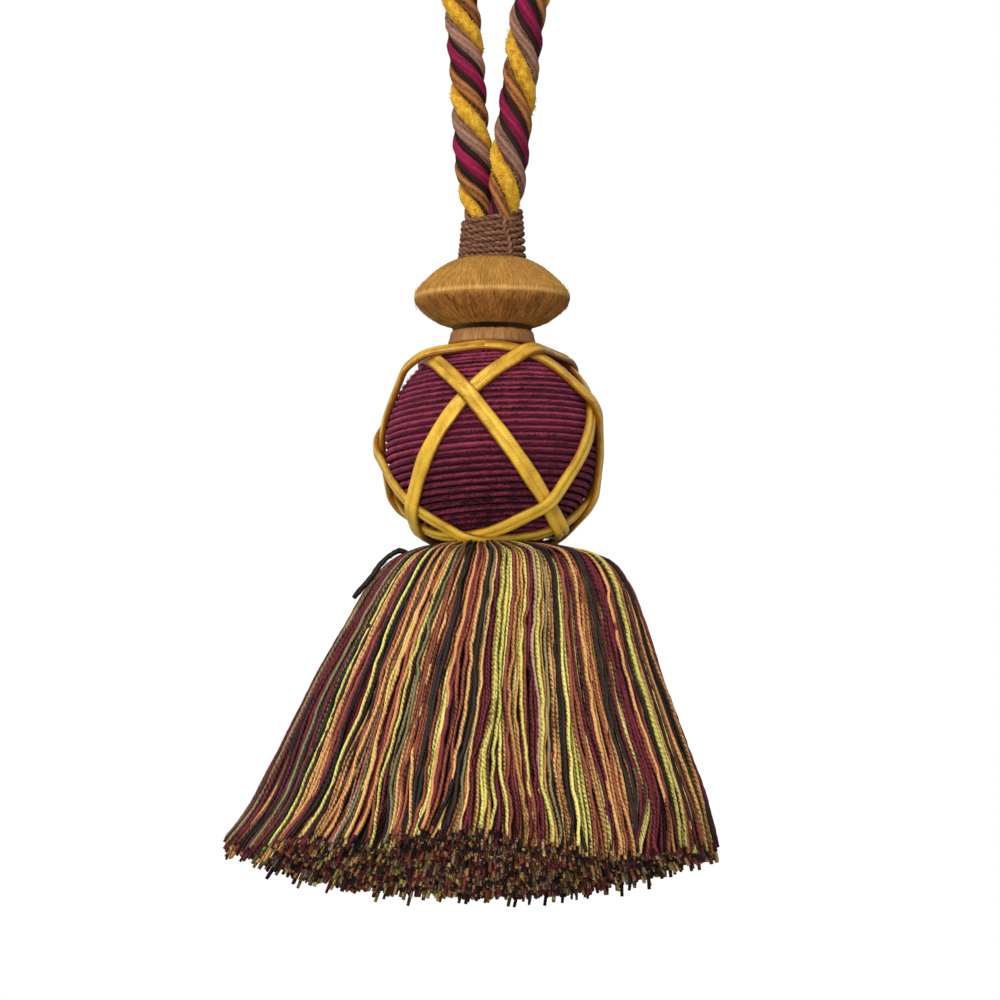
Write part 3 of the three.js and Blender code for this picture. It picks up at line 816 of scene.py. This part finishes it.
class Ring:
    def __init__(self, lean, tilt, sink):
        lean, tilt, sink = (radians(value) for value in (lean, tilt, sink))
        facing = np.array([sin(lean), -cos(lean), 0])
        self.pole = -sin(tilt) * facing + cos(tilt) * up
        self.crest = cos(tilt) * facing + sin(tilt) * up
        self.side = np.array([cos(lean), sin(lean), 0])
        self.offset = -sin(sink)
        self.girth = cos(sink)
        self.lift = np.zeros(gimp["steps"])

    def direction(self, t):
        t = np.asarray(t)[..., None]
        return self.pole * self.offset + self.girth * (self.crest * np.cos(t) + self.side * np.sin(t))

    def turnAt(self, point):
        flat = point - self.pole * self.offset
        return atan2(flat @ self.side, flat @ self.crest)

    def heading(self, t):
        return self.side * cos(t) - self.crest * sin(t)

    def liftAt(self, t):
        return np.interp(t % turn, np.append(gimpTurns, turn), np.append(self.lift, self.lift[0]))

    def pullTaut(self, bumps):  # the tape runs straight between the places that hold it up
        held = np.zeros(gimp["steps"])
        for at, half, height in bumps:
            away = np.abs((gimpTurns - at + pi) % turn - pi)
            held = np.where(away < half, np.maximum(held, height), held)
        nearness = 1 / (gimpSeat + held)
        spread = 2 * cos(turn / gimp["steps"])
        for _ in range(4000):
            nearness = np.minimum(nearness, (np.roll(nearness, 1) + np.roll(nearness, -1)) / spread)
        self.lift = 1 / nearness - gimpSeat
        for _ in range(6):  # tape is stiff enough to round its corners
            self.lift = (np.roll(self.lift, 1) + 2 * self.lift + np.roll(self.lift, -1)) / 4


def weaveRings():
    rings = [Ring(*values) for values in gimp["rings"]]
    meetings = []
    for first, second, upperOver, lowerOver in gimp["crossings"]:
        a, b = rings[first], rings[second]
        lean = a.pole @ b.pole
        square = 1 - lean * lean
        base = a.pole * ((a.offset - lean * b.offset) / square)
        base = base + b.pole * ((b.offset - lean * a.offset) / square)
        across = np.cross(a.pole, b.pole)
        reach = sqrt((1 - base @ base) / square) * np.sign(across[2])
        for point, over in ((base + across * reach, upperOver), (base - across * reach, lowerOver)):
            upper, lower = (a, b) if over == first else (b, a)
            upperTurn, lowerTurn = upper.turnAt(point), lower.turnAt(point)
            sine = np.linalg.norm(np.cross(upper.heading(upperTurn), lower.heading(lowerTurn)))
            half = gimp["hold"] * gimp["width"] / sine / ballRadius
            meetings.append((upper, upperTurn, lower, lowerTurn, half))
    rideOver = gimp["thickness"] * gimp["press"]
    for _ in range(4):  # a tape that rides over a raised one is raised further
        for index, ring in enumerate(rings):
            bumps = [(radians(at), *held) for stacked, at, *held in gimp["stacks"] if stacked == index]
            for upper, upperTurn, lower, lowerTurn, half in meetings:
                if upper is ring:
                    bumps.append((upperTurn, half, lower.liftAt(lowerTurn) + rideOver))
            ring.pullTaut(bumps)
    return rings


def makeGimp():
    face, back = np.array(gimp["face"]), np.array(gimp["back"])
    thick = gimp["thickness"] / 2
    flat = (1 - np.abs(face) ** 2.6) ** 0.5
    pair = (1 - ((np.abs(face) - 0.5) / 0.56) ** 2) ** 0.5 * (1 - np.abs(face) ** 6) ** 0.5
    ease = np.clip(np.minimum(gimpTurns, turn - gimpTurns)[:, None] / 0.2, 0, 1)  # drifts end at the seam
    for index, ring in enumerate(weaveRings()):
        print("gimp ring", index + 1, "stands off up to", round(ring.lift.max(), 2), "mm")
        outward = ring.direction(gimpTurns)
        centres = outward * (gimpSeat + ring.lift)[:, None] + up * ballCentre
        half = gimp["width"] / 2 * (1 + ease * drift(1, gimp["steps"], 24, 0.035)[0][:, None])
        lobed = gimp["lobes"][index] + ease * drift(1, gimp["steps"], 14, 0.25)[0][:, None]
        lobed = np.clip(lobed, 0.05, 1)
        crown = thick * (flat * (1 - lobed) + pair * lobed)  # the tape is two cords side by side
        under = -thick * (1 - np.abs(back) ** 4) ** 0.5 * np.ones_like(half)
        across = half * np.concatenate([face, back])
        out = np.concatenate([crown, under], 1)
        tone = (0.6 - 0.36 * outward[:, 2])[None, :, None]  # painted light: lighter towards the foot, darker on top
        bundle = Bundle()
        rows = (centres[None], outward[None], across[None, :, ::-1], out[None, :, ::-1])
        bundle.tubes(*rows, 0, tone, closed=True, kind=gimp["lobes"][index])
        settle(bundle.build(f"gimpRing{index + 1}", [goldGimp]), "gimp", f"gimp_ring_{index + 1}")


makeGimp()

# skirt: two-ply cut yarn, an outer fall over a full inner mass
skirt = {
    "seed": 5,
    # yarns in the outer fall and in the layer behind it with their steps, and inner ends
    "outer": (240, 72), "second": (420, 40), "inner": 10000,
    "length": 49.3,
    # angle from the front and drop of the cut ends there: they were trimmed by eye
    "cut": [
        (-180, 53.0), (-150, 52.3), (-135, 51.4), (-120, 49.9), (-105, 48.5), (-90, 48.9), (-57, 52.6),
        (-40, 51.2), (-25, 52.8), (-11, 51.0), (0, 51.0), (13, 52.9), (27, 53.9), (42, 53.6), (64, 51.6),
        (90, 49.8), (120, 50.2), (150, 52.9), (180, 53.0),
    ],
    "uneven": 0.75, "innerUneven": 0.6,
    "clump": 1.3, "bulge": 0.3,  # how far locks lean aside and stand out together
    "swayPower": 1.6,  # of the way down: yarns sway more towards their ends
    "sway": 0.36, "crimp": 0.13, "flick": 1.5, "flickShare": 0.35,
    # drop, reach and lean of the fall
    "fall": [
        (-0.4, 8.8, 0), (0.1, 11.4, 0.2), (0.8, 14.4, 0.7), (2.5, 18.3, 1.5), (6.5, 21.5, 1.3),
        (11.1, 23.8, 0.8), (21.7, 28.5, -0.6), (32.2, 32.9, -1.3), (42.8, 37.4, -1.9), (49.3, 40.5, -3.5),
    ],
    # how dark the painted shade under the ball is and how thin yarns are where they are bound, and where on
    # the way down that ends
    "boundShade": 0.56, "boundThin": 0.42, "boundEnds": (0.03, 0.26),
    # dyes across the front, left to right; a few yarns stray from it
    "chart": "KBBRBKBBGBKBBKBBKBGK"
    "BGKLKLOBRBKBLKGRORLO"
    "ROLKGBROBKROBRROKGOB"
    "MLLLROOLRBMLOGMRKLOB"
    "BBOOROOKKBBMBBOKBRKL"
    "LOBKLRBORLKOBRBKBRBK",
    "charted": 0.9,
    # letter in the chart, name, sheen, dark, light and other light colour, radius, share behind and inside
    "dyes": [
        ("L", "Lime", 0.25, (82, 58, 22), (250, 232, 138), (214, 206, 98), 0.37, 0.17, 0.06),
        ("O", "Copper", 0.25, (78, 42, 18), (238, 186, 114), (208, 142, 84), 0.35, 0.2, 0.12),
        ("B", "Wine", 0.25, (26, 6, 10), (138, 52, 62), (104, 43, 51), 0.36, 0.2, 0.19),
        ("R", "Rust", 0.25, (48, 20, 14), (178, 96, 66), (148, 80, 62), 0.35, 0.13, 0.15),
        ("K", "Black", 0.15, (6, 6, 5), (48, 47, 40), (58, 38, 37), 0.36, 0.17, 0.25),
        ("M", "Mauve", 0.25, (58, 38, 30), (218, 174, 142), (184, 148, 118), 0.31, 0.08, 0.13),
        ("G", "Moss", 0.25, (34, 30, 18), (156, 140, 94), (118, 116, 80), 0.32, 0.05, 0.1),
    ],
    "plyPitch": 0.92,
    # painted light and shade as tone at the four corners of a yarn: one side, crest, other side, back
    "crest": (-0.3, 0.42, -0.3, -0.3),
    "looseEnd": [
        (-13.4, -4, -129.4), (-15, -4.6, -128.3), (-16.9, -5, -129.2), (-18.5, -5.2, -130.8),
        (-19.8, -5.4, -132.7), (-21.5, -5.7, -134.7), (-22.8, -5.9, -136.3),
    ],
    "looseDye": "K",
    # long strays below: angle, reach, extra drop, dye
    "strays": [
        (-0.8, 30, 3.0, "B"), (2.2, 33, 2.6, "K"), (0.95, 27, 2.2, "O"), (-2.4, 31, 2.4, "K"),
        (0.3, 36, 1.6, "R"),
    ],
}
letters, dyeNames, *dyeLooks, girths, sharesBehind, sharesInside = zip(*skirt["dyes"])
skirtLooks = [
    threadLook(name.lower() + "Yarn", dark, lit, 2, skirt["plyPitch"], 0.44, 1.5, 1.1, sheen, other=other)
    for name, sheen, dark, lit, other in zip(dyeNames, *dyeLooks)
]


def endDrops(angle, uneven):
    degrees = np.degrees((angle + pi) % turn - pi)
    return (np.interp(degrees, *zip(*skirt["cut"])) + rng.normal(0, uneven, len(angle)))[:, None]


def clumps(angle, share, knots):  # neighbours lean the same way
    around = knots.shape[1]
    low, t = knotsAt((angle / turn * around) % around)
    rows = knots[:, low] * (1 - t) + knots[:, (low + 1) % around] * t
    low, t = knotsAt(share[0] * (len(knots) - 1.01))
    return (rows[low] * (1 - t)[:, None] + rows[low + 1] * t[:, None]).T


def dyeRuns(count):  # like colours lie one to three together
    dyes = []
    while len(dyes) < count:
        dyes += [rng.choice(len(letters), p=sharesBehind)] * rng.integers(1, 4)
    return np.array(dyes[:count])


def addYarns(bundles, centres, outward, dye, light=0.5, vary=0.16, stout=1.0, shade=0.0, root=1.0):
    count, steps = centres.shape[:2]
    outward = np.broadcast_to(outward, centres.shape)
    girth = np.array(girths)[dye] * rng.uniform(0.86, 1.14, count) * stout
    girth = (girth[:, None] * root)[..., None]
    slub = 1 + rng.normal(0, 0.09, (count, steps, 4))  # uneven hand-spun thickness
    slub[:, -1] *= 0.85
    girth = girth * slub
    tone = (rng.normal(light, vary, count)[:, None] + drift(count, steps, 12, 0.14) - shade)[..., None]
    tone = tone + np.array(skirt["crest"])  # painted highlight on the crest, painted shade where it meets its neighbours
    start = rng.uniform(0, 50, count)
    kind = rng.random(count)
    for colour, bundle in enumerate(bundles):
        pick = dye == colour
        if pick.any():
            rows = [values[pick] for values in (centres, outward, girth)]
            bundle.roundTubes(*rows, 0, tone[pick], start=start[pick], kind=kind[pick])


def hangYarns(bundles, share, angle, inset, sway, radial, endDrop, dye, light):
    profile, run = smoothCurve(skirt["fall"], 320)
    columns = [*profile.T, *unit(np.gradient(profile[:, :2], axis=0)).T]  # with drop and reach of the heading
    drop, reach, lean, down, out = (np.interp(share * run[-1], run, column) for column in columns)
    stretch = 1 + (endDrop / skirt["length"] - 1) * drop / skirt["length"]
    reach = reach - down * inset + radial
    drop = drop * stretch + out * inset
    turned = angle[:, None] + sway / np.maximum(reach, 6)
    centres = np.stack([lean + reach * np.sin(turned), -reach * np.cos(turned), skirtTop - drop], -1)
    outward = unit(centres - up * (skirtTop - 10.0))  # away from the heart of the skirt
    # painted shade: yarns darker near their roots, under the ball
    bound = 1 - smoothStep(*skirt["boundEnds"], share)
    shade, root = skirt["boundShade"] * bound, 1 - skirt["boundThin"] * bound
    addYarns(bundles, centres, outward, dye, light, shade=shade, root=root)


def addOuter(bundles):  # the outer fall, charted across the front
    count, steps = skirt["outer"]
    place = (np.arange(count) + 0.5) / count
    angle = (place * turn - pi) + rng.normal(0, 0.3, count) * turn / count
    chart = np.array([letters.index(letter) for letter in skirt["chart"]])
    dye = dyeRuns(count)
    ahead = np.abs(angle) < pi / 2
    charted = ahead & (rng.random(count) < skirt["charted"])
    dye[charted] = chart[((angle[charted] / pi + 0.5) * len(chart)).astype(int)]
    share = np.linspace(0, 1, steps)[None]
    ramp = share ** skirt["swayPower"]
    flick = rng.normal(0, skirt["flick"], (count, 1)) * (rng.random((count, 1)) < skirt["flickShare"])
    leaning = rng.normal(0, skirt["clump"], (6, 46))
    sway = (clumps(angle, share, leaning) + drift(count, steps, 6, skirt["sway"])) * ramp
    crimp = drift(count, steps, 26, skirt["crimp"]) * smoothStep(0.05, 0.3, share)
    sway = sway + flick * share ** 7 + crimp
    inset = rng.choice([0, 0.3, 0.6], (count, 1)) * (1 - share * 0.5) + drift(count, steps, 5, 0.1)
    bulging = rng.normal(0, skirt["bulge"], (6, 60))
    radial = (drift(count, steps, 4, 0.25) + clumps(angle, share, bulging)) * ramp
    ends = endDrops(angle, skirt["uneven"])
    hangYarns(bundles, share, angle, inset, sway, radial, ends, dye, 0.55)
    return leaning, bulging


def addSecond(bundles, leaning, bulging):  # a second layer, seen between the first, with a lower tone as painted shade
    count, steps = skirt["second"]
    angle = (np.arange(count) + 0.5) / count * turn + rng.normal(0, 0.4, count) * turn / count
    share = np.linspace(0.04, 1, steps)[None]
    ramp = share ** skirt["swayPower"]
    sway = (clumps(angle, share, leaning) + drift(count, steps, 4, skirt["sway"])) * ramp
    inset = 1.25 - 0.5 * share + drift(count, steps, 4, 0.12)
    radial = (drift(count, steps, 3, 0.2) + clumps(angle, share, bulging)) * ramp
    ends = endDrops(angle, skirt["uneven"])
    # painted shade: the layer behind is given a lower tone
    hangYarns(bundles, share, angle, inset, sway, radial, ends, dyeRuns(count), 0.34)


def addInner(bundles):  # the inner mass, seen from below as cut ends, with a lower tone as painted shade
    count = skirt["inner"]
    part = np.sqrt(rng.uniform(0.001, 0.94, count))[:, None]
    angle = rng.uniform(0, turn, count)
    share = np.array([[0, 1]])
    profile = smoothCurve(skirt["fall"], 200)[0][60:]  # below the shoulder
    root = 4.5 + 6 * (1 - part)
    drop = root + (endDrops(angle, skirt["innerUneven"]) - root) * share
    full = np.interp(drop, profile[:, 0], profile[:, 1])
    lean = np.interp(drop, profile[:, 0], profile[:, 2])
    reach = part * (9 + (full - 9) * share)
    turned = angle[:, None] + rng.normal(0, 0.6, (count, 2)) * share / np.maximum(reach, 4)
    centres = np.stack([lean + reach * np.sin(turned), -reach * np.cos(turned), skirtTop - drop], -1)
    dye = rng.choice(len(letters), count, p=sharesInside)
    addYarns(bundles, centres, front, dye, 0.44, 0.32, 0.95)


def addStrays(bundles):  # the loose black end, and long ends below the cut
    loose = smoothCurve(skirt["looseEnd"], 30)[0][None]
    addYarns(bundles, loose, front, np.array([letters.index(skirt["looseDye"])]), 0.4, stout=1.15)
    for angle, reach, extra, dye in skirt["strays"]:
        t = np.linspace(0, 1, 14)
        drop = skirt["length"] - 12 + (14.5 + extra) * t
        spread = reach - 3 * (1 - t)
        x = spread * sin(angle) - 4 * t
        path = np.stack([x, -spread * cos(angle), skirtTop - drop], 1)[None]
        addYarns(bundles, path, front, np.array([letters.index(dye)]))


def makeSkirt():
    bundles = [Bundle() for _ in letters]
    addSecond(bundles, *addOuter(bundles))
    addInner(bundles)
    addStrays(bundles)
    for name, bundle, look in zip(dyeNames, bundles, skirtLooks):
        settle(bundle.build("skirt" + name, [look]), "skirt_yarn", "skirt")


rng = np.random.default_rng(skirt["seed"])
makeSkirt()

# plain pale floor far below the hanging tassel, and a white panel far behind it
stage = {
    "floorSize": 60, "floorHeight": -6, "floorGreys": ((0.5, 0.5, 0.5, 1), (0.54, 0.54, 0.535, 1)),
    "panelSize": 1.4, "panelPlace": (0, 7, 0.77),
}


def makeStage():
    bpy.ops.mesh.primitive_plane_add(size=stage["floorSize"], location=(0, 0, stage["floorHeight"]))
    floor = bpy.context.object
    floor.name = "paleFloor"
    look = Look("paleFloor")
    look.set("Base Color", look.mix(look.noise(3.0), *stage["floorGreys"]))
    look.set("Roughness", 0.9)
    floor.data.materials.append(look.material)
    upright = (pi / 2, 0, 0)
    bpy.ops.mesh.primitive_plane_add(size=stage["panelSize"], location=stage["panelPlace"], rotation=upright)
    panel = bpy.context.object
    panel.name = "whitePanel"
    look = Look("whitePanel", gloss=0.0)
    look.set("Base Color", (0, 0, 0, 1))
    look.set("Emission Color", (1, 1, 1, 1))
    look.set("Emission Strength", 1.0)
    panel.data.materials.append(look.material)


makeStage()

# soft studio light: a pale room, one broad key from above the front, a low fill from the front
studio = {
    "room": 0.46,
    "aim": (0, 0, -0.12),
    # name, place, size, power
    "lamps": [("key", (-0.35, -0.75, 1.0), 0.5, 13), ("fill", (-0.5, -2.2, -0.55), 1.1, 29)],
}
world = bpy.data.worlds.new("paleRoom")
scene.world = world
world.use_nodes = True
room = world.node_tree.nodes["Background"].inputs
room["Color"].default_value = (1, 1, 1, 1)
room["Strength"].default_value = studio["room"]
for name, place, size, power in studio["lamps"]:
    bpy.ops.object.light_add(type="AREA", location=place)
    lamp = bpy.context.object
    lamp.name = name
    lamp.data.size = size
    lamp.data.energy = power
    aim = np.array(studio["aim"]) - np.array(place)
    tilt = acos(-aim[2] / np.linalg.norm(aim))
    lamp.rotation_euler = (tilt, 0, atan2(aim[1], aim[0]) - pi / 2)
print("lit")
